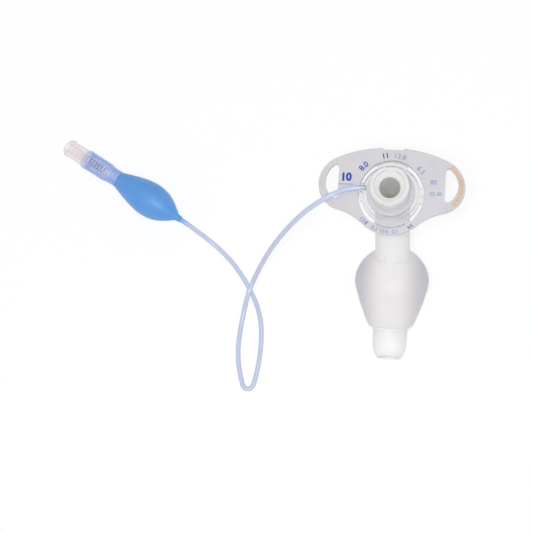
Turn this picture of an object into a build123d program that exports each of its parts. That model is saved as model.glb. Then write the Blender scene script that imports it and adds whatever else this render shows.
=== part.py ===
from build123d import *
from math import asin, atan, atan2, cos, degrees, pi, radians, sin, sqrt, tan
import os

# Cuffed tracheostomy tube, in millimetres: a swivelling neck flange, a clear hub, a curved cannula with a
# tapered cuff, a removable inner cannula with a 15 mm connector, and a pilot line with balloon and luer valve.
# The origin is the middle of the flange's window, on the flat back face that lies on the neck.
# +Z points out of the neck along the hub, +Y towards the chin, and the cannula bends towards -Y.

# Outer cannula: one round tube bent to a single arc in the plane X = 0, with a short straight top in the hub
bend_radius = 55.0
bend_angle = 90.0
cannula_top = 0.8
cannula_od = 13.8
cannula_wall = 1.5
tip_taper_angle = 6.4
tip_od = 10.0
tip_wall = 0.9
tip_round = 0.35
tip_fullness = 0.75

# Inflation path: hole in the cannula wall, and the drillings in the hub that feed it
lumen_d = 0.8
lumen_top_angle = 1.6
port_angle = 57.0
passage_d = 0.9
passage_cover = 0.5

# Cuff: a thin film, blown to a taper and bonded to the cannula by a collar at each end
cuff_start_angle = 45.0
cuff_peak_angle = 56.0
cuff_end_angle = 77.2
cuff_peak_d = 29.8
cuff_shoulder_curve = 1.8
cuff_shoulder_power = 0.7
cuff_film = 0.3
cuff_taper = 0.8
cuff_taper_curve = 1.4
cuff_bluntness = 24
cuff_collar_angle = 1.1
bond_gap = 0.02

# Inner cannula and its connector
sliding_gap = 0.3
inner_wall = 1.0
inner_end_gap_angle = 1.2
spigot_wall = 0.65
spigot_draft = 0.35
spigot_length = 4.6
cone_front_d = 15.2
cone_taper = 1 / 40
cone_length = 9.2
cone_rim_wall = 1.3
rim_chamfer = 0.45
funnel_length = 1.6
step_ring_width = 0.45
step_ring_height = 1.0
base_lip = 3.0
base_height = 1.2
rim_notch_width = 3.5
rim_notch_depth = 1.6

# Hub
seat_gap = 0.3
base_gap = 0.1
collar_margin = 1.3
collar_height = 2.9
disc_margin = 0.9
disc_height = 3.0
skirt_wall = 2.1
skirt_depth = 7.0
skirt_draft = 0.7
hub_round = 0.4

# Swivel: two pins on the hub in two holes in the flange's plate, on an axis along X, and the hub's shoulders and
# tabs, which fill the flange's window up to the gap that it swings in
pin_d = 1.2
pin_length = 3.2
pin_gap = 0.08
shoulder_reach = 0.55
shoulder_width = 6.2
tab_reach = 1.4
tab_width = 12.0
swing_gap = 0.45

# Neck flange: a flat middle with two wings swept back round the neck
flange_thickness = 2.4
flange_half_width = 28.5
flange_round = 0.5
ring_width = 2.4
wing_radius = 10.8
wing_lift = 3.95
crown_rise = 3.85
waist_radius = 24.0
flat_margin = 2.3
wing_sweep_radius = 40.0
wing_spare_angle = 4.0
strap_rim = 2.7
strap_width = 5.1
strap_lift = 0.7
strap_corner = 1.1
top_notch_width = 8.2
top_notch_depth = 0.8
top_notch_round = 0.7
dimple_d = 1.8
dimple_depth = 0.4
dimple_x = 15.4
dimple_y = 13.2

# Pilot line and the socket in the hub that it is bonded into
line_d = 2.0
line_fit = 0.03
socket_wall = 0.85
socket_reach = 0.2
socket_depth = 2.2
line_over_flange = 0.9
line_side = 1.7
floor_z = -62.9

# Pilot balloon with its sleeve, along its own axis from the line's end
neck_wall = 0.5
neck_tip_wall = 0.15
neck_length = 2.2
balloon_length = 30.0
balloon_d = 14.5
balloon_peak = 14.6
balloon_film = 0.4
belly_low_at = 0.4
belly_low_fill = 0.67
belly_top_at = 0.62
belly_top_fill = 0.5
line_in_balloon = 0.8
sleeve_length = 17.4
sleeve_wall = 0.4
sleeve_end_ring = 2.0
sleeve_ring_rise = 0.2
sleeve_fit = 0.02

# Luer valve
housing_grip = 14.0
housing_flare = 3.6
housing_tail_d = 6.1
housing_d = 7.1
housing_draft = 0.05
luer_length = 10.0
luer_round = 1.1
luer_mouth_d = 4.3
luer_taper = 0.06
luer_depth = 9.5
lug_ear = 0.2
lug_ear_length = 1.0
lug_ear_width = 2.6
seat_thickness = 0.8
seat_hole_d = 2.6
chamber_d = 4.0
chamber_length = 10.5
stem_d = 1.9
stem_reach = 4.6
head_height = 1.2
valve_gap = 0.15
seal_height = 0.6
seal_squeeze = 0.02
tail_d = 1.5
tail_length = 3.6
retainer_height = 1.4
retainer_hole_d = 1.6
spring_wire_d = 0.36
spring_turns = 5

# Sizes that follow from the ones above
cannula_r = cannula_od / 2
bore_r = cannula_r - cannula_wall
inner_r = bore_r - sliding_gap
inner_bore_r = inner_r - inner_wall
spigot_low_r = inner_r + spigot_wall
spigot_top_r = spigot_low_r + spigot_draft
hub_bore_r = spigot_top_r + seat_gap
base_r = hub_bore_r + base_lip
collar_r = base_r + collar_margin
disc_r = collar_r + disc_margin
window_x = disc_r + shoulder_reach + swing_gap
window_y = disc_r + tab_reach + swing_gap
ring_r = window_y + ring_width
flat_half = window_x + flat_margin
pin_r = pin_d / 2
pivot_z = flange_thickness / 2
disc_bottom = pivot_z - disc_height / 2
disc_top = pivot_z + disc_height / 2
collar_top = disc_top + collar_height
base_z = collar_top + base_gap
cone_z = base_z + base_height
front_z = cone_z + step_ring_height + cone_length
line_r = line_d / 2
socket_bore_r = line_r + line_fit
socket_r = socket_bore_r + socket_wall
line_z = flange_thickness + line_over_flange + line_r
socket_mouth_x = disc_r + socket_reach
socket_floor_x = socket_mouth_x - socket_depth
wing_x = flange_half_width - wing_radius
bore_taper_start = bend_angle - tip_taper_angle / 2
arc_axis = Axis((0, -bend_radius, 0), (-1, 0, 0))


# Plane square to the cannula's arc at an angle from the hub, with its normal down the tube
def station(angle):
    turn = radians(angle)
    centre = (0, bend_radius * (cos(turn) - 1), -bend_radius * sin(turn))
    return Plane(origin=centre, x_dir=(1, 0, 0), z_dir=(0, -sin(turn), -cos(turn)))


# Round section of a given radius carried along the arc between two angles
def bent_rod(radius, start, end, side=0.0):
    rod = revolve(Pos(side, 0) * Circle(radius), arc_axis, end - start)
    return rod.rotate(arc_axis, start)


# Round section whose radius changes along the arc, from (angle, radius) pairs
def bent_loft(sections):
    return loft([station(angle) * Circle(radius) for angle, radius in sections])


# Rod of a given radius from one point to another
def rod_between(start, end, radius):
    path = Vector(*end) - Vector(*start)
    base = Plane(origin=start, z_dir=path)
    return extrude(base * Circle(radius), path.length)


# Solid of revolution about Z from corner points given as (radius, height)
def turned(points, rounds=None):
    profile = make_face(Polyline(*[(r, 0, z) for r, z in points], close=True))
    for index, radius in rounds or []:
        r, z = points[index]
        corner = profile.vertices().sort_by_distance((r, 0, z))[0]
        profile = fillet(corner, radius)
    return revolve(profile, Axis.Z)


def make_outer_cannula():
    tip_r = tip_od / 2
    taper_start = bend_angle - tip_taper_angle
    taper_middle = bend_angle - tip_taper_angle / 2
    round_start = bend_angle - degrees(tip_round / bend_radius)
    middle_r = tip_r + tip_fullness * (cannula_r - tip_r)
    body = bent_rod(cannula_r, 0, taper_start)
    body += bent_loft([(taper_start, cannula_r), (taper_middle, middle_r), (round_start, tip_r)])
    body += bent_loft([(round_start, tip_r), (bend_angle, tip_r - tip_round)])
    bore = bent_rod(bore_r, 0, bore_taper_start)
    bore += bent_loft([(bore_taper_start, bore_r), (bend_angle, tip_r - tip_wall)])
    body += extrude(Circle(cannula_r), cannula_top)
    bore += extrude(Circle(bore_r), cannula_top)
    lumen_x = -(bore_r + cannula_r) / 2
    lumen = bent_rod(lumen_d / 2, lumen_top_angle, port_angle, lumen_x)
    cannula = body - bore - lumen
    for angle in (lumen_top_angle + 1, port_angle - 1):
        cannula -= rod_between(*port_line(angle, lumen_x, -cannula_r - cannula_wall), lumen_d / 2)
    return cannula


# Ends of a short hole along X through the cannula wall at an angle of the arc
def port_line(angle, start_x, end_x):
    centre = station(angle).origin
    return (start_x, centre.Y, centre.Z), (end_x, centre.Y, centre.Z)


# Outside radius of the cuff at an angle: a rounded shoulder, then a nearly straight taper with a blunt end
def cuff_radius(angle):
    collar_r = cannula_r + bond_gap + cuff_film
    swell = cuff_peak_d / 2 - collar_r
    if angle < cuff_peak_angle:
        run = (cuff_peak_angle - angle) / (cuff_peak_angle - cuff_start_angle)
        return collar_r + swell * (1 - run ** cuff_shoulder_curve) ** cuff_shoulder_power
    run = (angle - cuff_peak_angle) / (cuff_end_angle - cuff_peak_angle)
    taper = 1 - cuff_taper * run ** cuff_taper_curve
    return collar_r + swell * taper * sqrt(1 - run ** cuff_bluntness)


# Point of the cuff's inside, as (angle, radius): the film's thickness in from the outside, square to its slope
def cuff_inside(angle):
    step = 0.02
    low = max(angle - step, cuff_start_angle)
    high = min(angle + step, cuff_end_angle)
    slope = atan((cuff_radius(high) - cuff_radius(low)) / (bend_radius * radians(high - low)))
    return angle + degrees(cuff_film * sin(slope) / bend_radius), cuff_radius(angle) - cuff_film * cos(slope)


def make_cuff():
    rise = cuff_peak_angle - cuff_start_angle
    fall = cuff_end_angle - cuff_peak_angle
    angles = [cuff_start_angle + rise * share for share in (0, 0.06, 0.25, 0.55)]
    angles += [cuff_peak_angle + fall * share for share in (0, 0.3, 0.6, 0.84, 0.94, 0.985, 1)]
    skin = bent_loft([(angle, cuff_radius(angle)) for angle in angles])
    air = bent_loft([cuff_inside(angle) for angle in angles])
    collar_r = cuff_radius(cuff_start_angle)
    top_collar = bent_rod(collar_r, cuff_start_angle - cuff_collar_angle, cuff_start_angle)
    low_collar = bent_rod(collar_r, cuff_end_angle, cuff_end_angle + cuff_collar_angle)
    inside = bent_rod(cannula_r + bond_gap, cuff_start_angle - 2 * cuff_collar_angle,
                      cuff_end_angle + 2 * cuff_collar_angle)
    return skin - air + top_collar + low_collar - inside


def make_hub():
    skirt_r = cannula_r + skirt_wall
    corners = [(0, -skirt_depth), (skirt_r - skirt_draft, -skirt_depth), (skirt_r, disc_bottom), (disc_r, disc_bottom),
               (disc_r, disc_top), (collar_r, disc_top), (collar_r, collar_top), (hub_bore_r, collar_top),
               (hub_bore_r, cannula_top), (0, cannula_top)]
    hub = turned(corners, [(3, hub_round), (4, hub_round), (6, hub_round)])
    arms = Rectangle(3 * disc_r, shoulder_width) + Rectangle(tab_width, 3 * disc_r)
    arms = (arms & Ellipse(disc_r + shoulder_reach, disc_r + tab_reach)) - Circle(collar_r)
    hub += Pos(0, 0, disc_bottom) * extrude(arms, disc_height)
    for side in (-1, 1):
        hub += rod_between((side * collar_r, 0, pivot_z), (side * (disc_r + pin_length), 0, pivot_z), pin_r)
    hub += rod_between((-collar_r + socket_wall, line_side, line_z), (-socket_mouth_x, line_side, line_z), socket_r)
    hub -= bent_rod(cannula_r + bond_gap, 0, bend_angle / 3)
    hub -= extrude(Circle(cannula_r + bond_gap), cannula_top)
    hub -= rod_between((-socket_floor_x, line_side, line_z), (-socket_mouth_x - 1, line_side, line_z), socket_bore_r)
    return hub - make_hub_passage()


# Drillings from the line's socket down to the port of the hole in the cannula wall
def make_hub_passage():
    radius = passage_d / 2
    port = station(lumen_top_angle + 1).origin
    down_x = -(cannula_r + bond_gap + passage_cover + radius)
    down_y = line_side / 2
    feed_z = collar_top - passage_cover - radius
    across = rod_between((-socket_floor_x - passage_cover, line_side, feed_z), (down_x, down_y, feed_z), radius)
    down = rod_between((down_x, down_y, feed_z), (down_x, down_y, port.Z - radius), radius)
    inward = rod_between((down_x, down_y, port.Z), (-cannula_r + cannula_wall / 2, port.Y, port.Z), radius)
    return across + down + inward


def make_inner_cannula():
    end_angle = bore_taper_start - inner_end_gap_angle
    ring = Circle(inner_r) - Circle(inner_bore_r)
    return revolve(ring, arc_axis, end_angle) + extrude(ring, base_z)


def make_connector():
    cone_front_r = cone_front_d / 2
    cone_back_r = cone_front_r + cone_length * cone_taper / 2
    ring_top = cone_z + step_ring_height
    socket_r = inner_r + bond_gap
    low_z = base_z - spigot_length
    corners = [(socket_r, low_z), (spigot_low_r, low_z), (spigot_top_r, base_z), (base_r, base_z), (base_r, cone_z),
               (cone_back_r + step_ring_width, cone_z), (cone_back_r + step_ring_width, ring_top),
               (cone_back_r, ring_top), (cone_front_r, front_z - rim_chamfer), (cone_front_r - rim_chamfer, front_z),
               (cone_front_r - cone_rim_wall, front_z), (cone_front_r - cone_rim_wall, front_z - rim_notch_depth),
               (inner_bore_r, front_z - rim_notch_depth - funnel_length), (inner_bore_r, base_z), (socket_r, base_z)]
    connector = turned(corners, [(4, hub_round), (11, hub_round)])
    for side in (-1, 1):
        notch = Pos(0, side * cone_front_r, front_z) * Box(rim_notch_width, 4 * cone_rim_wall, 2 * rim_notch_depth)
        connector -= notch
    return connector


# Outline of the flange, as arcs: crown, wing end, waist and the ring round the window, then the same mirrored
def flange_outline():
    top = wing_lift + wing_radius + crown_rise
    crown_radius = (wing_x ** 2 + (wing_radius + crown_rise) ** 2 - wing_radius ** 2) / (2 * crown_rise)
    wing = Vector(wing_x, wing_lift)
    crown_end = wing + (wing - Vector(0, top - crown_radius)).normalized() * wing_radius
    to_ring = ring_r + waist_radius
    to_wing = wing_radius + waist_radius
    along = (to_ring ** 2 - to_wing ** 2 + wing.length ** 2) / (2 * wing.length)
    across = sqrt(to_ring ** 2 - along ** 2)
    lean = atan2(wing_lift, wing_x)
    waist = Vector(along * cos(lean) + across * sin(lean), along * sin(lean) - across * cos(lean))
    wing_end = wing + (waist - wing).normalized() * wing_radius
    ring_end = waist.normalized() * ring_r
    middle = waist + ((wing_end + ring_end) / 2 - waist).normalized() * waist_radius
    right = [ThreePointArc((0, top), crown_mid(top, crown_radius, crown_end), crown_end),
             ThreePointArc(crown_end, (flange_half_width, wing_lift), wing_end),
             ThreePointArc(wing_end, middle, ring_end),
             ThreePointArc(ring_end, ring_mid(ring_end), (0, -ring_r))]
    left = [edge.mirror(Plane.YZ) for edge in right]
    return make_face(right + left), top


# Point halfway along the crown's arc
def crown_mid(top, radius, end):
    half = asin(end.X / radius) / 2
    return (radius * sin(half), top - radius * (1 - cos(half)))


# Point halfway along the ring's arc, from the waist to the foot
def ring_mid(end):
    return (end + Vector(0, -ring_r)).normalized() * ring_r


# Plate of even thickness: flat across the middle, each wing swept back on an arc
def bent_plate(half_height):
    plate = Pos(0, 0, flange_thickness / 2) * Box(2 * flat_half, 2 * half_height, flange_thickness)
    sweep = degrees(asin((flange_half_width - flat_half) / wing_sweep_radius)) + wing_spare_angle
    for side in (-1, 1):
        root = Plane(origin=(side * flat_half, 0, flange_thickness / 2), x_dir=(0, 1, 0), z_dir=(1, 0, 0))
        hinge = Axis((side * flat_half, 0, -wing_sweep_radius), (0, side, 0))
        plate += revolve(root * Rectangle(2 * half_height, flange_thickness), hinge, sweep)
    return plate


def make_flange():
    outline, top = flange_outline()
    depth = wing_sweep_radius
    blank = bent_plate(2 * top) & extrude(outline, depth, both=True)
    walls = blank.faces().filter_by(lambda face: abs(face.normal_at(face.center()).Z) < 0.2)
    flange = fillet(walls.edges().filter_by(Axis.Z, reverse=True), flange_round)
    slot_r = wing_radius - strap_rim
    slot_inner_x = flange_half_width - strap_rim - strap_width
    slot = Pos(wing_x, wing_lift + strap_lift) * Circle(slot_r)
    slot -= Pos(slot_inner_x - slot_r, wing_lift + strap_lift) * Rectangle(2 * slot_r, 3 * slot_r)
    slot = fillet(slot.vertices(), strap_corner)
    notch = Pos(0, top) * RectangleRounded(top_notch_width, 2 * top_notch_depth, top_notch_round)
    for cut in (Ellipse(window_x, window_y), slot, slot.mirror(Plane.YZ), notch):
        flange -= extrude(cut, depth, both=True)
    for side in (-1, 1):
        hole_end = disc_r + pin_length + swing_gap
        flange -= rod_between((0, 0, pivot_z), (side * hole_end, 0, pivot_z), pin_r + pin_gap)
        dimple = Pos(side * dimple_x, dimple_y, flange_thickness - dimple_depth)
        flange -= dimple * Cylinder(dimple_d / 2, 4 * dimple_depth, align=(Align.CENTER, Align.CENTER, Align.MIN))
    return flange


# Pilot line's route: out of the socket, over the wing, down to the surface, one narrow loop, then to the balloon
lie = floor_z + line_r
route = [(-socket_floor_x, line_side, line_z), (-socket_floor_x - 6.7, line_side, line_z), (-24.4, -2.8, 5.8),
         (-32.4, -7.4, 1.2), (-39.0, -11.2, -9.0), (-44.2, -13.9, -21.2), (-48.8, -16.5, -33.4), (-52.6, -19.3, -44.6),
         (-55.8, -22.7, -53.4), (-58.0, -26.4, lie + 3.9), (-59.6, -31.2, lie + 3.5), (-60.9, -37.0, lie + 0.8),
         (-61.9, -44.0, lie), (-62.5, -51.5, lie), (-62.1, -58.4, lie), (-61.0, -63.4, lie), (-60.2, -66.2, lie),
         (-59.55, -68.3, lie), (-58.7, -69.45, lie), (-57.35, -69.9, lie), (-56.0, -69.45, lie), (-55.15, -68.3, lie),
         (-54.6, -66.0, lie), (-53.9, -62.2, lie), (-53.2, -56.0, lie), (-53.0, -48.6, lie), (-53.7, -41.4, lie),
         (-55.8, -34.6, lie), (-59.2, -28.2, lie), (-63.2, -22.2, lie), (-68.0, -16.4, lie), (-73.6, -11.4, lie),
         (-78.4, -7.9, lie + 0.9), (-82.7, -5.5, lie + 4.5), (-86.8, -3.1, lie + 7.99), (-91.6, -0.25, lie + 7.5)]
points = [Vector(*point) for point in route]


# Radius of the arc at each corner of the route, as large as its two runs allow
def route_radii():
    radii = []
    for before, corner, after in zip(points, points[1:], points[2:]):
        shorter = min((corner - before).length, (after - corner).length)
        turn = (corner - before).get_angle(after - corner)
        radii.append(0.45 * shorter / tan(radians(turn) / 2))
    return radii


def make_line():
    radii = route_radii()
    path = FilletPolyline(*points, radius=radii)
    start = Plane(origin=points[0], z_dir=points[1] - points[0])
    line = sweep(start * Circle(line_r), path)
    print("line arc radii", [round(radius, 1) for radius in radii])
    print("line length", round(path.length, 1), "volume ratio", round(line.volume / (pi * line_r ** 2 * path.length), 4))
    return line


# The balloon and the valve share the axis of the line's last run, with height 0 at the line's end
valve_axis = Location(Plane(origin=points[-1], z_dir=points[-1] - points[-2]))
body_start = -line_in_balloon
body_end = body_start + balloon_length
sleeve_end = body_end + sleeve_length
neck_r = socket_bore_r + neck_wall
tail_r = housing_tail_d / 2
housing_r = housing_d / 2
sleeve_low_r = tail_r + sleeve_fit + sleeve_wall
sleeve_top_r = housing_r + sleeve_fit + sleeve_wall
tail_low = sleeve_end - housing_grip
flare_end = tail_low + housing_flare
mouth_z = sleeve_end + luer_length
seat_top = mouth_z - luer_depth
seat_low = seat_top - seat_thickness
chamber_low = seat_low - chamber_length
head_top = seat_low - seal_squeeze - seal_height
head_low = head_top - head_height
spring_low = chamber_low + retainer_height


# Balloon wall: outside curve, then the same curve set in by the film, turned about the valve's axis
def make_balloon():
    peak_z = body_start + balloon_peak
    peak_r = balloon_d / 2
    belly_low = (body_start + belly_low_at * balloon_peak, neck_r + belly_low_fill * (peak_r - neck_r))
    belly_top = (peak_z + belly_top_at * (body_end - peak_z),
                 sleeve_low_r + belly_top_fill * (peak_r - sleeve_low_r))
    spots = [(body_start, neck_r), belly_low, (peak_z, peak_r), belly_top, (body_end, sleeve_low_r)]
    outside = Spline(*[(r, 0, z) for z, r in spots])
    inside = Spline(*[(r - wall, 0, z) for (z, r), wall in zip(spots, balloon_walls())])
    ring_low = sleeve_end - sleeve_end_ring
    ring_r = sleeve_top_r + sleeve_ring_rise
    edges = [outside,
             Polyline((sleeve_low_r, 0, body_end), (sleeve_low_r, 0, tail_low), (sleeve_top_r, 0, flare_end),
                      (sleeve_top_r, 0, ring_low), (ring_r, 0, ring_low), (ring_r, 0, sleeve_end),
                      (housing_r + sleeve_fit, 0, sleeve_end),
                      (housing_r + sleeve_fit, 0, flare_end), (tail_r + sleeve_fit, 0, tail_low),
                      (tail_r + sleeve_fit, 0, body_end)),
             inside,
             Polyline((socket_bore_r, 0, body_start), (socket_bore_r, 0, body_start - neck_length),
                      (socket_bore_r + neck_tip_wall, 0, body_start - neck_length), (neck_r, 0, body_start))]
    return valve_axis * revolve(make_face(edges), Axis.Z)


# Wall at each point of the balloon's curve, thick at the neck and at the sleeve
def balloon_walls():
    return [neck_wall, balloon_film, balloon_film, balloon_film, sleeve_wall]


def make_housing():
    mouth_r = luer_mouth_d / 2
    luer_low_r = mouth_r - luer_taper * luer_depth / 2
    corners = [(chamber_d / 2, tail_low), (tail_r, tail_low), (housing_r, flare_end),
               (housing_r, sleeve_end), (housing_r - housing_draft, mouth_z), (mouth_r, mouth_z),
               (luer_low_r, seat_top), (seat_hole_d / 2, seat_top),
               (seat_hole_d / 2, seat_low), (chamber_d / 2, seat_low)]
    housing = turned(corners, [(4, luer_round)])
    ear_z = mouth_z - luer_round - lug_ear_length / 2
    ear_reach = housing_r - housing_draft + lug_ear
    ears = Pos(0, 0, ear_z) * Box(2 * ear_reach, lug_ear_width, lug_ear_length)
    ears -= Pos(0, 0, ear_z) * Cylinder(ear_reach - 2 * lug_ear, 2 * lug_ear_length)
    return valve_axis * (housing + ears)


def make_plunger():
    head_r = chamber_d / 2 - valve_gap
    corners = [(0, head_low - tail_length), (tail_d / 2, head_low - tail_length), (tail_d / 2, head_low),
               (head_r, head_low), (head_r, head_top), (stem_d / 2, head_top), (stem_d / 2, seat_top + stem_reach),
               (0, seat_top + stem_reach)]
    return valve_axis * turned(corners)


def make_seal():
    seal_r = chamber_d / 2 - valve_gap
    hole_r = stem_d / 2 + bond_gap
    return valve_axis * turned([(hole_r, head_top), (seal_r, head_top), (seal_r, head_top + seal_height),
                                (hole_r, head_top + seal_height)])


def make_retainer():
    outer_r = chamber_d / 2 - bond_gap
    hole_r = retainer_hole_d / 2
    return valve_axis * turned([(hole_r, chamber_low), (outer_r, chamber_low), (outer_r, spring_low),
                                (hole_r, spring_low)])


def make_spring():
    wire_r = spring_wire_d / 2
    coil_r = (tail_d / 2 + chamber_d / 2) / 2
    height = head_low - spring_low - spring_wire_d - 2 * seal_squeeze
    coil = Helix(height / spring_turns, height, coil_r)
    wire = sweep(Plane(origin=coil @ 0, z_dir=coil % 0) * Circle(wire_r), coil, is_frenet=True)
    return valve_axis * (Pos(0, 0, spring_low + wire_r + seal_squeeze) * wire)


parts = {
    "neck_flange": make_flange(),
    "hub": make_hub(),
    "outer_cannula": make_outer_cannula(),
    "cuff": make_cuff(),
    "inner_cannula": make_inner_cannula(),
    "inner_cannula_connector": make_connector(),
    "pilot_line": make_line(),
    "pilot_balloon": make_balloon(),
    "valve_housing": make_housing(),
    "valve_plunger": make_plunger(),
    "valve_seal": make_seal(),
    "valve_spring": make_spring(),
    "valve_retainer": make_retainer(),
}

os.makedirs("parts", exist_ok=True)
for name, shape in parts.items():
    export_step(shape, os.path.join("parts", name + ".step"))
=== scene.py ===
import bmesh
import bpy
import numpy as np
from mathutils import Matrix, Vector


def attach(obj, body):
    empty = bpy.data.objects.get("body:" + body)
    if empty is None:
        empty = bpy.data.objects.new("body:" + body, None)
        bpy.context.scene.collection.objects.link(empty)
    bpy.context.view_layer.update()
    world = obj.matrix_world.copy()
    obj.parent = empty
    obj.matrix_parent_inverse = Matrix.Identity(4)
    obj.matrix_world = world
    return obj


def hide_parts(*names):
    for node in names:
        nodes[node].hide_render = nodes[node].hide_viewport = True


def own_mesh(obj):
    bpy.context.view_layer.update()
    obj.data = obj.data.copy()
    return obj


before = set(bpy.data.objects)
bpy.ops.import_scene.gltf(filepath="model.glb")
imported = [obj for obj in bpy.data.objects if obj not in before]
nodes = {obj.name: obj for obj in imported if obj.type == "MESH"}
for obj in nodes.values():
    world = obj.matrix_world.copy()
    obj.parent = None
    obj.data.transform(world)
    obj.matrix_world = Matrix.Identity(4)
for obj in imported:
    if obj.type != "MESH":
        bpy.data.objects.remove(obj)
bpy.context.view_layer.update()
scene = bpy.context.scene
scene.view_settings.view_transform = "Standard"
# light passes many thin walls and bounces along the bore before it is seen
scene.cycles.max_bounces = 20
scene.cycles.diffuse_bounces = 10
scene.cycles.transparent_max_bounces = 32
mm = 0.001
print("frame loaded:", len(nodes), "nodes")


def plain(vector):
    return tuple(float(part) for part in vector)


# sRGB hex to linear colour
def hexColor(code):
    channel = np.array([int(code[i:i + 2], 16) for i in (1, 3, 5)]) / 255
    linear = np.where(channel <= 0.04045, channel / 12.92, ((channel + 0.055) / 1.055) ** 2.4)
    return (*plain(linear), 1.0)


# one node, with its settings, and inputs given as values or as sockets to link
def addNode(tree, kind, inputs=None, **settings):
    node = tree.nodes.new(kind)
    for name, value in settings.items():
        setattr(node, name, value)
    for name, value in (inputs or {}).items():
        if isinstance(value, bpy.types.NodeSocket):
            tree.links.new(value, node.inputs[name])
        else:
            node.inputs[name].default_value = value
    return node


# empty material with its output and one Principled shader, whose even values are given by socket name
def startMaterial(name, even):
    material = bpy.data.materials.new(name)
    material.use_nodes = True
    tree = material.node_tree
    tree.nodes.clear()
    shader = addNode(tree, "ShaderNodeBsdfPrincipled", even)
    addNode(tree, "ShaderNodeOutputMaterial", {"Surface": shader.outputs["BSDF"]})
    place = addNode(tree, "ShaderNodeTexCoord").outputs["Object"]
    return material, tree, shader.inputs, place


def dress(obj, material):
    obj.data.materials.clear()
    obj.data.materials.append(material)
    return obj


# mesh object from arrays of corners and faces, in millimetres
def meshPiece(name, points, faces, material, smooth=True):
    mesh = bpy.data.meshes.new(name)
    mesh.from_pydata((np.asarray(points) * mm).tolist(), [], [tuple(face) for face in faces])
    mesh.polygons.foreach_set("use_smooth", np.full(len(mesh.polygons), smooth))
    mesh.update()
    obj = bpy.data.objects.new(name, mesh)
    scene.collection.objects.link(obj)
    mesh.materials.append(material)
    return obj


# faces of a grid of rows by columns, closed round both ways
def gridFaces(rows, columns):
    row, column = np.meshgrid(np.arange(rows), np.arange(columns), indexing="ij")
    nextRow, nextColumn = (row + 1) % rows, (column + 1) % columns
    corners = [row * columns + column, row * columns + nextColumn, nextRow * columns + nextColumn,
               nextRow * columns + column]
    return np.stack(corners, -1).reshape(-1, 4).tolist()


cameraView = {"place": (43.14, -199.53, 877.09), "aim": (-49.70, -24.44, -30.0), "rollDeg": 3.82,
              "lens": 156.6, "sensor": 36, "nearest": 0.01, "farthest": 20}


def makeCamera():
    data = bpy.data.cameras.new("camera")
    data.lens = cameraView["lens"]
    data.sensor_width = cameraView["sensor"]
    data.clip_start, data.clip_end = cameraView["nearest"], cameraView["farthest"]
    camera = bpy.data.objects.new("camera", data)
    scene.collection.objects.link(camera)
    place = Vector(cameraView["place"]) * mm
    back = (place - Vector(cameraView["aim"]) * mm).normalized()
    side = Vector((0, 1, 0)).cross(back).normalized()
    side = Matrix.Rotation(np.radians(cameraView["rollDeg"]), 3, back) @ side
    up = back.cross(side)
    camera.matrix_world = Matrix.Translation(place) @ Matrix((side, up, back)).transposed().to_4x4()
    scene.camera = camera


makeCamera()
print("camera made")

stage = {"floorZ": -63.0, "floorReach": 3000, "floorGlow": 0.8, "horizon": 0.46, "zenith": 0.58,
         "keyPlace": (5, -205, 915), "keySize": 150, "keyPower": 4.7}


def makeStage():
    far = stage["floorReach"]
    corners = [(x, y, stage["floorZ"]) for x, y in ((-far, -far), (far, -far), (far, far), (-far, far))]
    material, tree, _, _ = startMaterial("paperFloor", {
        "Base Color": hexColor("#FFFFFF"), "Roughness": 0.9, "Specular IOR Level": 0.0})
    floor = meshPiece("floor", corners, [(0, 1, 2, 3)], material, smooth=False)
    # seen straight on, in a gloss or through glass, most of the floor's white is its own,
    # so shadows stay faint
    ray = addNode(tree, "ShaderNodeLightPath").outputs
    seen = addNode(tree, "ShaderNodeMath", {0: ray["Is Camera Ray"], 1: ray["Is Glossy Ray"]},
                   operation="MAXIMUM")
    seen = addNode(tree, "ShaderNodeMath", {0: seen.outputs[0], 1: ray["Is Transmission Ray"]},
                   operation="MAXIMUM")
    share = addNode(tree, "ShaderNodeMath", {0: seen.outputs[0], 1: stage["floorGlow"]}, operation="MULTIPLY")
    glow = addNode(tree, "ShaderNodeEmission", {"Color": (1, 1, 1, 1), "Strength": 1.0})
    output = next(node for node in tree.nodes if node.type == "OUTPUT_MATERIAL")
    mix = addNode(tree, "ShaderNodeMixShader", {
        0: share.outputs[0], 1: output.inputs["Surface"].links[0].from_socket, 2: glow.outputs["Emission"]})
    tree.links.new(mix.outputs["Shader"], output.inputs["Surface"])
    # room: ceiling a little paler than the walls
    world = bpy.data.worlds.new("softRoom")
    scene.world = world
    world.use_nodes = True
    room = world.node_tree
    around = addNode(room, "ShaderNodeTexCoord").outputs["Generated"]
    height = addNode(room, "ShaderNodeSeparateXYZ", {0: around}).outputs["Z"]
    level = addNode(room, "ShaderNodeMapRange", {
        "Value": height, "From Min": 0.0, "From Max": 1.0,
        "To Min": stage["horizon"], "To Max": stage["zenith"]})
    room.links.new(level.outputs["Result"], room.nodes["Background"].inputs["Strength"])
    room.nodes["Background"].inputs["Color"].default_value = (1, 1, 1, 1)
    lampData = bpy.data.lights.new("softbox", "AREA")
    lampData.shape = "DISK"
    lampData.size = stage["keySize"] * mm
    lampData.energy = stage["keyPower"]
    lamp = bpy.data.objects.new("softbox", lampData)
    scene.collection.objects.link(lamp)
    lampPlace = Vector(stage["keyPlace"]) * mm
    lamp.matrix_world = Matrix.Translation(lampPlace) @ lampPlace.to_track_quat("Z", "Y").to_matrix().to_4x4()


makeStage()
print("stage made")

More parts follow.
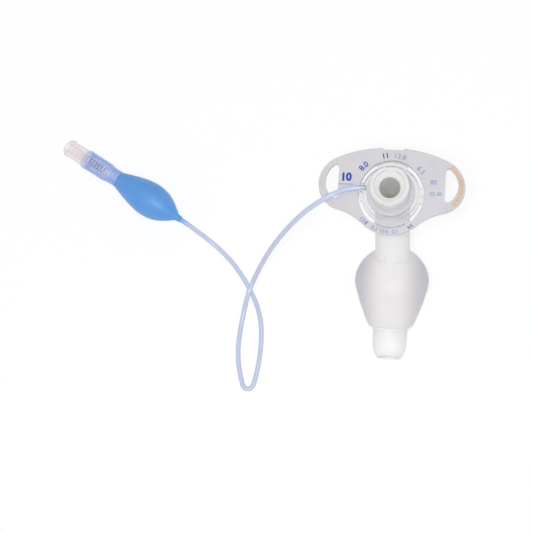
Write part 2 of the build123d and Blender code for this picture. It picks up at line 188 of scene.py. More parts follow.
pilotLine = {
    "diameter": 2.0, "length": 229.2, "exit": (-11.8, 1.7, 4.3), "stepsAlong": 16, "stepsRound": 6,
    "route": [
        (-9.6, 1.7, 4.3), (-16.3, 1.7, 4.3), (-24.4, -2.8, 5.8), (-32.4, -7.4, 1.2), (-39.0, -11.2, -9.0),
        (-44.2, -13.9, -21.2), (-48.8, -16.5, -33.4), (-52.6, -19.3, -44.6), (-55.8, -22.7, -53.4),
        (-58.0, -26.4, -58.0), (-59.6, -31.2, -58.4), (-60.9, -37.0, -61.1), (-61.9, -44.0, -61.9),
        (-62.5, -51.5, -61.9), (-62.1, -58.4, -61.9), (-61.0, -63.4, -61.9), (-60.2, -66.2, -61.9),
        (-59.55, -68.3, -61.9), (-58.7, -69.45, -61.9), (-57.35, -69.9, -61.9), (-56.0, -69.45, -61.9),
        (-55.15, -68.3, -61.9), (-54.6, -66.0, -61.9), (-53.9, -62.2, -61.9), (-53.2, -56.0, -61.9),
        (-53.0, -48.6, -61.9), (-53.7, -41.4, -61.9), (-55.8, -34.6, -61.9), (-59.2, -28.2, -61.9),
        (-63.2, -22.2, -61.9), (-68.0, -16.4, -61.9), (-73.6, -11.4, -61.9), (-78.4, -7.9, -61.0),
        (-82.7, -5.5, -57.4), (-86.8, -3.1, -53.91), (-91.6, -0.25, -54.4)],
}
valveEnd = np.array(pilotLine["route"][-1])
valveDir = valveEnd - np.array(pilotLine["route"][-2])
valveDir = valveDir / np.linalg.norm(valveDir)
valveSide = np.cross(valveDir, (0, 0, 1.0))
valveSide = valveSide / np.linalg.norm(valveSide)
valveOther = np.cross(valveDir, valveSide)


# directions square to the valve's axis: cosine of the angle on one side, sine on the other
def roundValve(angle):
    return np.cos(angle)[:, None] * valveSide + np.sin(angle)[:, None] * valveOther


# flange: soft PVC, moulded with a satin grain: pale lilac grey, a little milky, with faint flow clouds
def flangePlastic():
    material, tree, shader, place = startMaterial("satinFlangePvc", {
        "IOR": 1.52, "Subsurface Weight": 0.4, "Subsurface Scale": 1.2 * mm})
    cloud = addNode(tree, "ShaderNodeTexNoise", {"Vector": place, "Scale": 1 / (6 * mm), "Detail": 3.0})
    cloud = cloud.outputs["Fac"]
    tint = addNode(tree, "ShaderNodeMix", {
        "Factor": cloud, "A": hexColor("#CCCACF"), "B": hexColor("#D7D5DA")}, data_type="RGBA")
    tree.links.new(tint.outputs["Result"], shader["Base Color"])
    dull = addNode(tree, "ShaderNodeMapRange", {"Value": cloud, "To Min": 0.34, "To Max": 0.48})
    tree.links.new(dull.outputs["Result"], shader["Roughness"])
    # the mould's spark grain is about 0.05 mm; drawn at 0.3 mm so that it shows
    grain = addNode(tree, "ShaderNodeTexNoise", {"Vector": place, "Scale": 1 / (0.3 * mm), "Detail": 2.0})
    bump = addNode(tree, "ShaderNodeBump", {
        "Height": grain.outputs["Fac"], "Strength": 0.12, "Distance": 0.05 * mm})
    tree.links.new(bump.outputs["Normal"], shader["Normal"])
    return material


# hub: clear rigid PVC, moulded and polished: nearly colourless, with slow ripples where the melt ran
def clearPlastic():
    material, tree, shader, place = startMaterial("clearHubPvc", {
        "Base Color": hexColor("#D2D3D8"), "IOR": 1.5})
    ripple = addNode(tree, "ShaderNodeTexNoise", {"Vector": place, "Scale": 1 / (2.5 * mm), "Detail": 2.0})
    ripple = ripple.outputs["Fac"]
    dull = addNode(tree, "ShaderNodeMapRange", {"Value": ripple, "To Min": 0.1, "To Max": 0.24})
    tree.links.new(dull.outputs["Result"], shader["Roughness"])
    bump = addNode(tree, "ShaderNodeBump", {"Height": ripple, "Strength": 0.15, "Distance": 0.1 * mm})
    tree.links.new(bump.outputs["Normal"], shader["Normal"])
    turned = addNode(tree, "ShaderNodeLayerWeight", {"Blend": 0.5}).outputs["Facing"]
    cover = addNode(tree, "ShaderNodeMapRange", {"Value": turned, "To Min": 0.2, "To Max": 0.75})
    tree.links.new(cover.outputs["Result"], shader["Alpha"])
    return material


# cannulas: milky PVC tube, extruded: warm white, light glows through the wall, fine lines run along it
def whiteTube(name, dark, pale, depth):
    material, tree, shader, place = startMaterial(name, {
        "IOR": 1.53, "Specular IOR Level": 0.25, "Subsurface Weight": 1.0,
        "Subsurface Radius": (1.0, 0.98, 0.95), "Subsurface Scale": depth * mm})
    cloud = addNode(tree, "ShaderNodeTexNoise", {"Vector": place, "Scale": 1 / (9 * mm), "Detail": 2.0})
    cloud = cloud.outputs["Fac"]
    tint = addNode(tree, "ShaderNodeMix", {
        "Factor": cloud, "A": hexColor(dark), "B": hexColor(pale)}, data_type="RGBA")
    tree.links.new(tint.outputs["Result"], shader["Base Color"])
    dull = addNode(tree, "ShaderNodeMapRange", {"Value": cloud, "To Min": 0.5, "To Max": 0.62})
    tree.links.new(dull.outputs["Result"], shader["Roughness"])
    # die lines keep their X all along the bend; about 0.5 mm apart
    across = addNode(tree, "ShaderNodeMapping", {"Vector": place, "Scale": (1.0, 0.02, 0.02)})
    lines = addNode(tree, "ShaderNodeTexNoise", {"Vector": across.outputs["Vector"], "Scale": 1 / (0.5 * mm)})
    bump = addNode(tree, "ShaderNodeBump", {
        "Height": lines.outputs["Fac"], "Strength": 0.08, "Distance": 0.03 * mm})
    tree.links.new(bump.outputs["Normal"], shader["Normal"])
    return material


# connector: white polypropylene, moulded: cooler than the tube, semi-gloss, with painted shade: greyer
# outside towards its foot
# footHeight to mouthHeight: where the painted shade fades out; foot: the painted shade's grey
connectorLook = {"footHeight": 8, "mouthHeight": 17, "boreRadius": 6.2, "skinRadius": 7.0, "foot": "#DAD9DE"}


def connectorWhite():
    c = connectorLook
    material, tree, shader, place = startMaterial("whiteConnectorPolypropylene", {
        "IOR": 1.49})
    cloud = addNode(tree, "ShaderNodeTexNoise", {"Vector": place, "Scale": 1 / (5 * mm), "Detail": 3.0})
    cloud = cloud.outputs["Fac"]
    parts = addNode(tree, "ShaderNodeSeparateXYZ", {0: place}).outputs
    # painted shade: grey at the foot, fading by height to the white of the mouth
    outOfPaintedShade = addNode(tree, "ShaderNodeMapRange", {"Value": parts["Z"], "From Min": c["footHeight"] * mm,
                                                 "From Max": c["mouthHeight"] * mm}).outputs["Result"]
    flat = addNode(tree, "ShaderNodeVectorMath", {0: place, 1: (1.0, 1.0, 0.0)}, operation="MULTIPLY")
    off = addNode(tree, "ShaderNodeVectorMath", {0: flat.outputs[0]}, operation="LENGTH").outputs["Value"]
    # the bore is kept out of the painted shade
    inside = addNode(tree, "ShaderNodeMapRange", {
        "Value": off, "From Min": c["boreRadius"] * mm, "From Max": c["skinRadius"] * mm,
        "To Min": 1.0, "To Max": 0.0}).outputs["Result"]
    outOfPaintedShade = addNode(tree, "ShaderNodeMath", {0: outOfPaintedShade, 1: inside}, operation="MAXIMUM").outputs[0]
    mouth = addNode(tree, "ShaderNodeMix", {
        "Factor": cloud, "A": hexColor("#F3F3F2"), "B": hexColor("#F9F9F8")}, data_type="RGBA")
    tint = addNode(tree, "ShaderNodeMix", {
        "Factor": outOfPaintedShade, "A": hexColor(c["foot"]), "B": mouth.outputs["Result"]}, data_type="RGBA")
    tree.links.new(tint.outputs["Result"], shader["Base Color"])
    dull = addNode(tree, "ShaderNodeMapRange", {"Value": cloud, "To Min": 0.26, "To Max": 0.4})
    tree.links.new(dull.outputs["Result"], shader["Roughness"])
    turned = addNode(tree, "ShaderNodeLayerWeight", {"Blend": 0.4}).outputs["Facing"]
    cover = addNode(tree, "ShaderNodeMapRange", {"Value": turned, "To Min": 0.75, "To Max": 0.95})
    tree.links.new(cover.outputs["Result"], shader["Alpha"])
    return material


# cuff: blown PVC film, frosted, the tube shows faintly; painted light and shade: near white across its
# middle, darker lilac grey towards its sides
cuffLook = {"paintedShadeStart": 3.5, "paintedShadeFull": 13.5, "leastCover": 0.58, "mostCover": 0.88}


def cuffFilm():
    c = cuffLook
    material, tree, shader, place = startMaterial("frostedCuffFilm", {
        "IOR": 1.4, "Specular IOR Level": 0.3})
    drawn = addNode(tree, "ShaderNodeMapping", {"Vector": place, "Scale": (1.0, 0.4, 0.4)})
    haze = addNode(tree, "ShaderNodeTexNoise", {"Vector": drawn.outputs["Vector"], "Scale": 1 / (3 * mm),
                                                "Detail": 4.0}).outputs["Fac"]
    # painted light and shade by distance from the middle in X: near white in the middle, darker lilac grey at
    # the sides
    off = addNode(tree, "ShaderNodeSeparateXYZ", {0: place}).outputs["X"]
    off = addNode(tree, "ShaderNodeMath", {0: off}, operation="ABSOLUTE").outputs[0]
    paintedShade = addNode(tree, "ShaderNodeMapRange", {"Value": off, "From Min": c["paintedShadeStart"] * mm,
                                                 "From Max": c["paintedShadeFull"] * mm},
                    interpolation_type="SMOOTHSTEP").outputs["Result"]
    paintedLitMiddle = addNode(tree, "ShaderNodeMix", {
        "Factor": haze, "A": hexColor("#FBF9FA"), "B": hexColor("#FFFDFD")}, data_type="RGBA")
    # painted shade: the darker lilac grey given to the film's sides
    sides = addNode(tree, "ShaderNodeMix", {
        "Factor": haze, "A": hexColor("#DAD6DF"), "B": hexColor("#E2DEE6")}, data_type="RGBA")
    tint = addNode(tree, "ShaderNodeMix", {
        "Factor": paintedShade, "A": paintedLitMiddle.outputs["Result"], "B": sides.outputs["Result"]}, data_type="RGBA")
    tree.links.new(tint.outputs["Result"], shader["Base Color"])
    dull = addNode(tree, "ShaderNodeMapRange", {"Value": haze, "To Min": 0.38, "To Max": 0.55})
    tree.links.new(dull.outputs["Result"], shader["Roughness"])
    turned = addNode(tree, "ShaderNodeLayerWeight", {"Blend": 0.5}).outputs["Facing"]
    cover = addNode(tree, "ShaderNodeMapRange", {
        "Value": turned, "To Min": c["leastCover"], "To Max": c["mostCover"]})
    tree.links.new(cover.outputs["Result"], shader["Alpha"])
    return material


# pilot line: thin soft PVC tube, extruded: pale lavender, smooth, turning blue close to the balloon
lineLook = {"blueTo": 2.5, "paleFrom": 9, "blue": "#7FA6EA"}


def lineTube():
    material, tree, shader, place = startMaterial("lavenderLinePvc", {
        "IOR": 1.48, "Roughness": 0.28})
    away = addNode(tree, "ShaderNodeVectorMath", {0: place, 1: plain(valveEnd * mm)}, operation="DISTANCE")
    fade = addNode(tree, "ShaderNodeMapRange", {
        "Value": away.outputs["Value"], "From Min": lineLook["blueTo"] * mm,
        "From Max": lineLook["paleFrom"] * mm}, interpolation_type="SMOOTHSTEP")
    cloud = addNode(tree, "ShaderNodeTexNoise", {"Vector": place, "Scale": 1 / (8 * mm)}).outputs["Fac"]
    pale = addNode(tree, "ShaderNodeMix", {
        "Factor": cloud, "A": hexColor("#BEC8E4"), "B": hexColor("#CBD4EC")}, data_type="RGBA")
    tint = addNode(tree, "ShaderNodeMix", {"Factor": fade.outputs["Result"], "A": hexColor(lineLook["blue"]),
                                           "B": pale.outputs["Result"]}, data_type="RGBA")
    tree.links.new(tint.outputs["Result"], shader["Base Color"])
    return material


# balloon: blown PVC film, dyed: sky blue with faint clouds and a broad soft shine
def balloonBlue():
    material, tree, shader, place = startMaterial("blueBalloonFilm", {
        "IOR": 1.5, "Subsurface Weight": 0.5, "Subsurface Radius": (0.6, 0.8, 1.0),
        "Subsurface Scale": 2 * mm, "Coat Weight": 0.2, "Coat Roughness": 0.42})
    haze = addNode(tree, "ShaderNodeTexNoise", {"Vector": place, "Scale": 1 / (7 * mm), "Detail": 3.0})
    haze = haze.outputs["Fac"]
    tint = addNode(tree, "ShaderNodeMix", {
        "Factor": haze, "A": hexColor("#5596EE"), "B": hexColor("#68A6F5")}, data_type="RGBA")
    tree.links.new(tint.outputs["Result"], shader["Base Color"])
    dull = addNode(tree, "ShaderNodeMapRange", {"Value": haze, "To Min": 0.42, "To Max": 0.54})
    tree.links.new(dull.outputs["Result"], shader["Roughness"])
    return material


# sleeve: the balloon's film, shrunk: see-through lavender blue, denser at its start and sides, paler ring
sleeveLook = {"clearOver": 7, "ringBlur": 0.6, "startCover": 0.36, "clearCover": 0.12, "ringCover": 0.45,
              "sideCover": 0.9}


def sleeveBlue():
    s = sleeveLook
    material, tree, shader, place = startMaterial("clearBlueSleeve", {"IOR": 1.45, "Roughness": 0.2})
    along = addNode(tree, "ShaderNodeVectorMath", {0: place, 1: plain(valveDir)}, operation="DOT_PRODUCT")
    along = along.outputs["Value"]
    ringAt = float(valveEnd @ valveDir + sleeveShape["ringStart"]) * mm
    ring = addNode(tree, "ShaderNodeMapRange", {"Value": along, "From Min": ringAt - s["ringBlur"] * mm,
                                                "From Max": ringAt + s["ringBlur"] * mm},
                   interpolation_type="SMOOTHSTEP")
    startAt = float(valveEnd @ valveDir + sleeveShape["start"]) * mm
    clear = addNode(tree, "ShaderNodeMapRange", {"Value": along, "From Min": startAt,
                                                 "From Max": startAt + s["clearOver"] * mm},
                    interpolation_type="SMOOTHSTEP")
    body = addNode(tree, "ShaderNodeMix", {"Factor": clear.outputs["Result"], "A": hexColor("#9DBDF6"),
                                           "B": hexColor("#A2C0FC")}, data_type="RGBA")
    tint = addNode(tree, "ShaderNodeMix", {"Factor": ring.outputs["Result"], "A": body.outputs["Result"],
                                           "B": hexColor("#D2DAFF")}, data_type="RGBA")
    tree.links.new(tint.outputs["Result"], shader["Base Color"])
    turned = addNode(tree, "ShaderNodeLayerWeight", {"Blend": 0.45}).outputs["Facing"]
    least = addNode(tree, "ShaderNodeMapRange", {"Value": clear.outputs["Result"], "To Min": s["startCover"],
                                                 "To Max": s["clearCover"]}).outputs["Result"]
    band = addNode(tree, "ShaderNodeMapRange", {"Value": ring.outputs["Result"], "To Max": s["ringCover"]})
    least = addNode(tree, "ShaderNodeMath", {0: least, 1: band.outputs["Result"]}, operation="MAXIMUM")
    cover = addNode(tree, "ShaderNodeMapRange", {
        "Value": turned, "To Min": least.outputs[0], "To Max": s["sideCover"]})
    tree.links.new(cover.outputs["Result"], shader["Alpha"])
    return material


# luer: clear-milky ABS, moulded: pinkish white, clearer inside the sleeve, and the plunger shows through it
luerLook = {"blur": 0.5, "inLeast": 0.06, "inMost": 0.5, "outLeast": 0.22, "outMost": 0.75}


def luerWhite():
    u = luerLook
    material, tree, shader, place = startMaterial("milkyLuerAbs", {"IOR": 1.53})
    cloud = addNode(tree, "ShaderNodeTexNoise", {"Vector": place, "Scale": 1 / (3 * mm), "Detail": 2.0})
    cloud = cloud.outputs["Fac"]
    tint = addNode(tree, "ShaderNodeMix", {
        "Factor": cloud, "A": hexColor("#EEDDE8"), "B": hexColor("#F6E9F1")}, data_type="RGBA")
    tree.links.new(tint.outputs["Result"], shader["Base Color"])
    dull = addNode(tree, "ShaderNodeMapRange", {"Value": cloud, "To Min": 0.24, "To Max": 0.36})
    tree.links.new(dull.outputs["Result"], shader["Roughness"])
    turned = addNode(tree, "ShaderNodeLayerWeight", {"Blend": 0.4}).outputs["Facing"]
    along = addNode(tree, "ShaderNodeVectorMath", {0: place, 1: plain(valveDir)}, operation="DOT_PRODUCT")
    along = along.outputs["Value"]
    outAt = float(valveEnd @ valveDir + sleeveShape["end"]) * mm
    out = addNode(tree, "ShaderNodeMapRange", {"Value": along, "From Min": outAt - u["blur"] * mm,
                                               "From Max": outAt + u["blur"] * mm}).outputs["Result"]
    least = addNode(tree, "ShaderNodeMapRange", {
        "Value": out, "To Min": u["inLeast"], "To Max": u["outLeast"]})
    most = addNode(tree, "ShaderNodeMapRange", {
        "Value": out, "To Min": u["inMost"], "To Max": u["outMost"]})
    cover = addNode(tree, "ShaderNodeMapRange", {"Value": turned, "To Min": least.outputs["Result"],
                                                 "To Max": most.outputs["Result"]})
    tree.links.new(cover.outputs["Result"], shader["Alpha"])
    return material


# plunger: acetal, moulded: ivory, waxy
def ivoryPlastic():
    material, tree, shader, place = startMaterial("ivoryPlungerAcetal", {
        "IOR": 1.48, "Roughness": 0.38, "Subsurface Weight": 0.4, "Subsurface Scale": 1 * mm})
    cloud = addNode(tree, "ShaderNodeTexNoise", {"Vector": place, "Scale": 1 / (1.5 * mm)}).outputs["Fac"]
    tint = addNode(tree, "ShaderNodeMix", {
        "Factor": cloud, "A": hexColor("#FBF6E4"), "B": hexColor("#FFFCF0")}, data_type="RGBA")
    tree.links.new(tint.outputs["Result"], shader["Base Color"])
    return material


# seal: nitrile rubber, moulded: dark slate, dull, with a fine grain
def sealRubber():
    material, tree, shader, place = startMaterial("darkSealNitrile", {"IOR": 1.52, "Roughness": 0.62})
    grain = addNode(tree, "ShaderNodeTexNoise", {"Vector": place, "Scale": 1 / (0.2 * mm)}).outputs["Fac"]
    tint = addNode(tree, "ShaderNodeMix", {
        "Factor": grain, "A": hexColor("#26303C"), "B": hexColor("#3A4550")}, data_type="RGBA")
    tree.links.new(tint.outputs["Result"], shader["Base Color"])
    return material


# spring: steel wire, drawn: dark bright metal with fine scratches
def springSteel():
    material, tree, shader, place = startMaterial("drawnSpringSteel", {
        "Base Color": hexColor("#4A5260"), "Metallic": 1.0})
    scratch = addNode(tree, "ShaderNodeTexNoise", {"Vector": place, "Scale": 1 / (0.15 * mm), "Detail": 3.0})
    dull = addNode(tree, "ShaderNodeMapRange", {
        "Value": scratch.outputs["Fac"], "To Min": 0.22, "To Max": 0.42})
    tree.links.new(dull.outputs["Result"], shader["Roughness"])
    return material


# pad print: ink stamped on the plate: flat, a little thin in places
def padInk(name, full, thin):
    material, tree, shader, place = startMaterial(name, {"IOR": 1.5, "Roughness": 0.5})
    wear = addNode(tree, "ShaderNodeTexNoise", {"Vector": place, "Scale": 1 / (0.6 * mm), "Detail": 2.0})
    wear = wear.outputs["Fac"]
    tint = addNode(tree, "ShaderNodeMix", {
        "Factor": wear, "A": hexColor(full), "B": hexColor(thin)}, data_type="RGBA")
    tree.links.new(tint.outputs["Result"], shader["Base Color"])
    return material


def makeLine():
    curve = bpy.data.curves.new("pilotLine", "CURVE")
    curve.dimensions = "3D"
    spline = curve.splines.new("NURBS")
    spline.points.add(len(pilotLine["route"]) - 1)
    flat = np.ones((len(pilotLine["route"]), 4))
    flat[:, :3] = np.array(pilotLine["route"]) * mm
    spline.points.foreach_set("co", flat.ravel())
    spline.order_u = 3
    spline.use_endpoint_u = True
    curve.resolution_u = pilotLine["stepsAlong"]
    curve.bevel_depth = pilotLine["diameter"] / 2 * mm
    curve.bevel_resolution = pilotLine["stepsRound"]
    curve.use_fill_caps = True
    line = bpy.data.objects.new("pilotLine", curve)
    scene.collection.objects.link(line)
    curve.materials.append(lineTube())
    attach(line, "cannula")
    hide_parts("pilot_line")
    return line


line = makeLine()
print("pilot line laid")

balloonShape = {
    "neckTip": -3.0, "neckTipRadius": 1.18, "bodyStart": -0.8, "neckRadius": 1.53,
    "lowAt": 5.04, "lowRadius": 5.36, "peakAt": 13.8, "peakRadius": 7.25, "topAt": 23.35, "topRadius": 5.36,
    "bodyEnd": 29.2, "sleeveRadius": 3.47, "lineRadius": 1.03, "film": 0.4, "columns": 96, "rows": 120,
}
sleeveShape = {"start": 29.2, "flareStart": 32.6, "flareEnd": 36.2, "ringStart": 44.6, "end": 46.6,
               "lowRadius": 3.47, "topRadius": 3.97, "film": 0.4, "fit": 0.02, "lip": 0.22,
               "columns": 96, "rows": 60}


# natural cubic through given points: the second slopes solve a small banded system
def cubicThrough(knots, values, at):
    knots, values = np.asarray(knots, float), np.asarray(values, float)
    step = np.diff(knots)
    count = len(knots)
    left = np.eye(count)
    right = np.zeros(count)
    for i in range(1, count - 1):
        left[i, i - 1:i + 2] = step[i - 1], 2 * (step[i - 1] + step[i]), step[i]
        right[i] = 6 * ((values[i + 1] - values[i]) / step[i] - (values[i] - values[i - 1]) / step[i - 1])
    bend = np.linalg.solve(left, right)
    i = np.clip(np.searchsorted(knots, at) - 1, 0, count - 2)
    a, b = knots[i + 1] - at, at - knots[i]
    curved = (bend[i] * a ** 3 + bend[i + 1] * b ** 3) / (6 * step[i])
    fromLeft = (values[i] / step[i] - bend[i] * step[i] / 6) * a
    fromRight = (values[i + 1] / step[i] - bend[i + 1] * step[i] / 6) * b
    return curved + fromLeft + fromRight


# closed profile turned about the valve's axis: place = line's end + height along the axis + radius round it
def turnedPiece(name, heights, radii, columns, material):
    ring = roundValve(np.linspace(0, 2 * np.pi, columns, endpoint=False))
    points = valveEnd + heights[:, None, None] * valveDir + radii[:, None, None] * ring
    return meshPiece(name, points.reshape(-1, 3), gridFaces(len(heights), columns), material)


# balloon: cubic through neck, belly and waist, then the same curve set in by the film
def makeBalloon():
    b = balloonShape
    at = np.linspace(b["bodyStart"], b["bodyEnd"], b["rows"])
    out = cubicThrough([b["bodyStart"], b["lowAt"], b["peakAt"], b["topAt"], b["bodyEnd"]],
                       [b["neckRadius"], b["lowRadius"], b["peakRadius"], b["topRadius"], b["sleeveRadius"]],
                       at)
    inside = np.maximum(out - b["film"], b["lineRadius"])
    heights = np.concatenate([[b["neckTip"]], at, at[::-1], [b["neckTip"]]])
    radii = np.concatenate([[b["neckTipRadius"]], out, inside[::-1], [b["lineRadius"]]])
    balloon = turnedPiece("balloonSkin", heights, radii, b["columns"], balloonBlue())
    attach(balloon, "cannula")
    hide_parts("pilot_balloon")
    return balloon


# sleeve: radius rises by a smooth step over the flare, then a lip of half a sine; inside, less the film
def makeSleeve():
    s = sleeveShape
    at = np.linspace(s["start"], s["end"], s["rows"])
    rise = np.clip((at - s["flareStart"]) / (s["flareEnd"] - s["flareStart"]), 0, 1)
    out = s["lowRadius"] + (s["topRadius"] - s["lowRadius"]) * rise ** 2 * (3 - 2 * rise)
    inside = out - s["film"] + s["fit"]
    roll = np.clip((at - s["ringStart"]) / (s["end"] - s["ringStart"]), 0, 1)
    out = out + s["lip"] * np.sin(np.pi * roll)
    heights, radii = np.concatenate([at, at[::-1]]), np.concatenate([out, inside[::-1]])
    sleeve = turnedPiece("valveSleeve", heights, radii, s["columns"], sleeveBlue())
    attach(sleeve, "cannula")
    return sleeve


valveSpring = {"low": 37.22, "high": 44.46, "coilRadius": 1.375, "wireRadius": 0.18, "turns": 5,
               "stroke": 1.2, "rows": 220, "columns": 10}


# spring: a circle of wire carried along a helix, square to the helix's direction, capped flat at each end
def makeSpring():
    s = valveSpring
    climb = s["high"] - s["low"] - 2 * s["wireRadius"]
    share = np.linspace(0, 1, s["rows"])
    angle = 2 * np.pi * s["turns"] * share
    outward = roundValve(angle)
    around = roundValve(angle + np.pi / 2)
    height = s["low"] + s["wireRadius"] + climb * share
    middle = valveEnd + height[:, None] * valveDir + s["coilRadius"] * outward
    forward = 2 * np.pi * s["turns"] * s["coilRadius"] * around + climb * valveDir
    forward = forward / np.linalg.norm(forward, axis=1)[:, None]
    across = np.cross(forward, outward)
    turn = np.linspace(0, 2 * np.pi, s["columns"], endpoint=False)
    wire = np.cos(turn)[:, None] * outward[:, None, :] + np.sin(turn)[:, None] * across[:, None, :]
    points = (middle[:, None, :] + s["wireRadius"] * wire).reshape(-1, 3)
    skin = gridFaces(s["rows"], s["columns"])[:-s["columns"]]
    caps = [range(s["columns"] - 1, -1, -1), range(len(points) - s["columns"], len(points))]
    spring = meshPiece("valveSpringCoil", points, skin + caps, springSteel())
    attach(spring, "cannula")
    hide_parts("valve_spring")
    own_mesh(spring)
    return spring


balloon = makeBalloon()
sleeve = makeSleeve()
spring = makeSpring()
print("balloon, sleeve and spring made")

luerPlastic = luerWhite()
dress(nodes["neck_flange"], flangePlastic())
dress(nodes["hub"], clearPlastic())
dress(nodes["outer_cannula"], whiteTube("milkyTubePvc", "#FBF9F7", "#FFFDFB", 2.0))
dress(nodes["inner_cannula"], whiteTube("clearMilkyLinerPvc", "#FAFCF7", "#FFFFFC", 4.0))
dress(nodes["inner_cannula_connector"], connectorWhite())
dress(nodes["cuff"], cuffFilm())
dress(nodes["valve_housing"], luerPlastic)
dress(nodes["valve_retainer"], luerPlastic)
dress(nodes["valve_plunger"], ivoryPlastic())
dress(nodes["valve_seal"], sealRubber())
print("CAD nodes dressed")

# marks on the plate: numbers bent round the window by radius and angle, or set straight at x, y
plateMarks = {
    "flatHalf": 14.9, "thickness": 2.4, "sweepRadius": 40.0, "lift": 0.02, "ink": 0.03, "weld": 0.0005,
    "navy": [
        {"body": "8.0", "height": 2.3, "radius": 15.5, "angle": 136, "bold": 0.02},
        {"body": "11", "height": 2.1, "radius": 15.5, "angle": 101, "bold": 0.03},
        {"body": "13.8", "height": 1.5, "radius": 14.7, "angle": 228, "foot": True},
        {"body": "6.5", "height": 1.3, "radius": 14.7, "angle": 303, "foot": True, "bold": 0.02},
        {"body": "10", "height": 3.4, "x": -17.4, "y": 6.3, "bold": 0.05},
    ],
    "slate": [
        {"body": "13.8", "height": 2.0, "radius": 15.5, "angle": 79},
        {"body": "6.5", "height": 2.0, "radius": 15.0, "angle": 42},
        {"body": "80", "height": 1.8, "x": 16.2, "y": 5.5},
        {"body": "25.30", "height": 1.5, "x": 17.2, "y": 0.9},
        {"body": "8.2 10.6", "height": 1.5, "radius": 14.7, "angle": 256, "foot": True},
        {"body": "0.5", "height": 1.4, "radius": 14.7, "angle": 279, "foot": True},
    ],
    "rule": {"x": (-20.6, -14.6), "y": (3.25, 3.5)},
}


# top of the plate: flat across the middle, then an arc swept back from where the flat ends
def plateTop(x):
    p = plateMarks
    past = np.maximum(np.abs(x) - p["flatHalf"], 0)
    return np.sqrt((p["sweepRadius"] + p["thickness"]) ** 2 - past ** 2) - p["sweepRadius"]


# numerals as flat closed solids on XY, centred, scaled to their height; z is 0 or 1
def flatNumerals(mark):
    curve = bpy.data.curves.new("numerals", "FONT")
    curve.body = mark["body"]
    curve.extrude = 0.5
    curve.offset = mark.get("bold", 0.0)
    holder = bpy.data.objects.new("numerals", curve)
    scene.collection.objects.link(holder)
    mesh = bpy.data.meshes.new_from_object(holder.evaluated_get(bpy.context.evaluated_depsgraph_get()))
    solid = bmesh.new()
    solid.from_mesh(mesh)
    bmesh.ops.remove_doubles(solid, verts=solid.verts, dist=plateMarks["weld"])  # in font units
    bmesh.ops.recalc_face_normals(solid, faces=solid.faces)
    points = np.array([vertex.co[:] for vertex in solid.verts])
    faces = [[vertex.index for vertex in face.verts] for face in solid.faces]
    solid.free()
    bpy.data.objects.remove(holder)
    bpy.data.curves.remove(curve)
    bpy.data.meshes.remove(mesh)
    low, high = points.min(0), points.max(0)
    points[:, :2] = (points[:, :2] - (low[:2] + high[:2]) / 2) * mark["height"] / (high[1] - low[1])
    points[:, 2] = points[:, 2] > 0
    return points, faces


# round the window: angle = middle minus x over radius, reach = radius plus y; at the foot both turn over
def wrapOnPlate(points, mark):
    x, y = points[:, 0], points[:, 1]
    if "radius" in mark:
        turn = -1 if mark.get("foot") else 1
        angle = np.radians(mark["angle"]) - turn * x / mark["radius"]
        reach = mark["radius"] + turn * y
        x, y = reach * np.cos(angle), reach * np.sin(angle)
    else:
        x, y = x + mark["x"], y + mark["y"]
    z = plateTop(x) + plateMarks["lift"] + plateMarks["ink"] * (points[:, 2] - 1)
    return np.stack([x, y, z], 1)


# several solids as one mesh: each one's faces count on from the corners before it
def joinSolids(solids):
    starts = np.cumsum([0] + [len(points) for points, faces in solids])
    joined = [[int(start) + index for index in face]
              for start, (_, faces) in zip(starts, solids) for face in faces]
    return np.concatenate([points for points, _ in solids]), joined


# flat box of two by a few corners, so that it can bend with the plate
def ruleSolid(rule, count=9):
    x = np.linspace(*rule["x"], count)
    low, high = rule["y"]
    ring = np.array([(low, 0), (high, 0), (high, 1), (low, 1)])
    points = np.stack([np.repeat(x, 4), np.tile(ring[:, 0], count), np.tile(ring[:, 1], count)], 1)
    side = [(4 * i + j, 4 * i + (j + 1) % 4, 4 * i + 4 + (j + 1) % 4, 4 * i + 4 + j)
            for i in range(count - 1) for j in range(4)]
    return points, side + [(3, 2, 1, 0), tuple(range(4 * count - 4, 4 * count))]


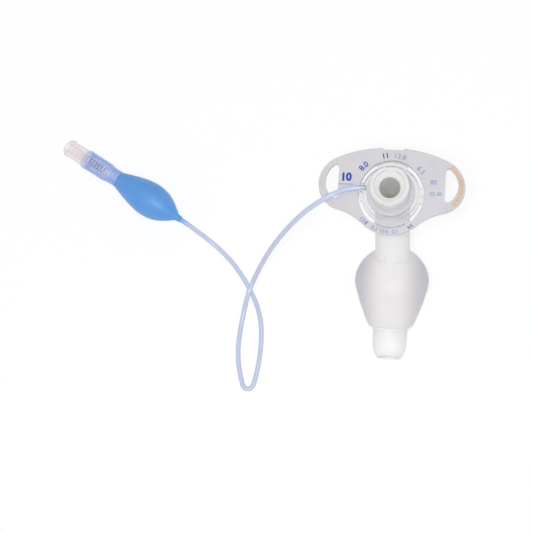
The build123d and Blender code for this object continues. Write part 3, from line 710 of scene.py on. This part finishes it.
def makePrint(name, marks, extra, ink):
    solids = []
    for mark in marks:
        points, faces = flatNumerals(mark)
        solids.append((wrapOnPlate(points, mark), faces))
    for points, faces in extra:
        solids.append((wrapOnPlate(points, {"x": 0, "y": 0}), faces))
    piece = meshPiece(name, *joinSolids(solids), ink, smooth=False)
    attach(piece, "flange")
    return piece


makePrint("navyPrint", plateMarks["navy"], [], padInk("navyPadInk", "#0B3A9B", "#1E4CAB"))
makePrint("slatePrint", plateMarks["slate"], [ruleSolid(plateMarks["rule"])],
          padInk("slatePadInk", "#5F78B2", "#8496C0"))
print("numbers printed")

dotBand = {"center": (17.7, 3.95), "from": 58, "to": -48, "inner": 8.65, "outer": 9.95,
           "rows": 5, "columns": 66, "bareEvery": 6, "dot": 0.15, "sides": 6, "spread": 0.2, "kept": 0.86,
           "seed": 11}


# dots: hexagons in rows on a ring about the wing's centre, kept by a seeded draw, every sixth column bare
def makeDots():
    d = dotBand
    sides = d["sides"]
    draw = np.random.default_rng(d["seed"])
    angle, reach = np.meshgrid(np.radians(np.linspace(d["from"], d["to"], d["columns"])),
                               np.linspace(d["inner"], d["outer"], d["rows"]), indexing="ij")
    kept = draw.random(angle.shape) < d["kept"]
    kept &= (np.arange(d["columns"]) % d["bareEvery"] < d["bareEvery"] - 1)[:, None]
    angle, reach = angle[kept], reach[kept]
    corner = np.radians(np.arange(sides) * 360 / sides)
    size = d["dot"] * draw.uniform(1 - d["spread"], 1 + d["spread"], len(angle))
    x = (d["center"][0] + reach * np.cos(angle))[:, None] + size[:, None] * np.cos(corner)
    y = (d["center"][1] + reach * np.sin(angle))[:, None] + size[:, None] * np.sin(corner)
    flat = np.stack([x, y, np.zeros_like(x)], -1)
    points = np.concatenate([flat, flat + (0, 0, 1)], 1)
    faces = [tuple(range(sides - 1, -1, -1)), tuple(range(sides, 2 * sides))]
    faces += [(i, (i + 1) % sides, sides + (i + 1) % sides, sides + i) for i in range(sides)]
    solids = [(wrapOnPlate(dot, {"x": 0, "y": 0}), faces) for dot in points]
    ink = padInk("ochreDotInk", "#DBA45C", "#E8C186")
    piece = meshPiece("goldDots", *joinSolids(solids), ink, smooth=False)
    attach(piece, "flange")
    return piece


makeDots()
print("dotted band printed")
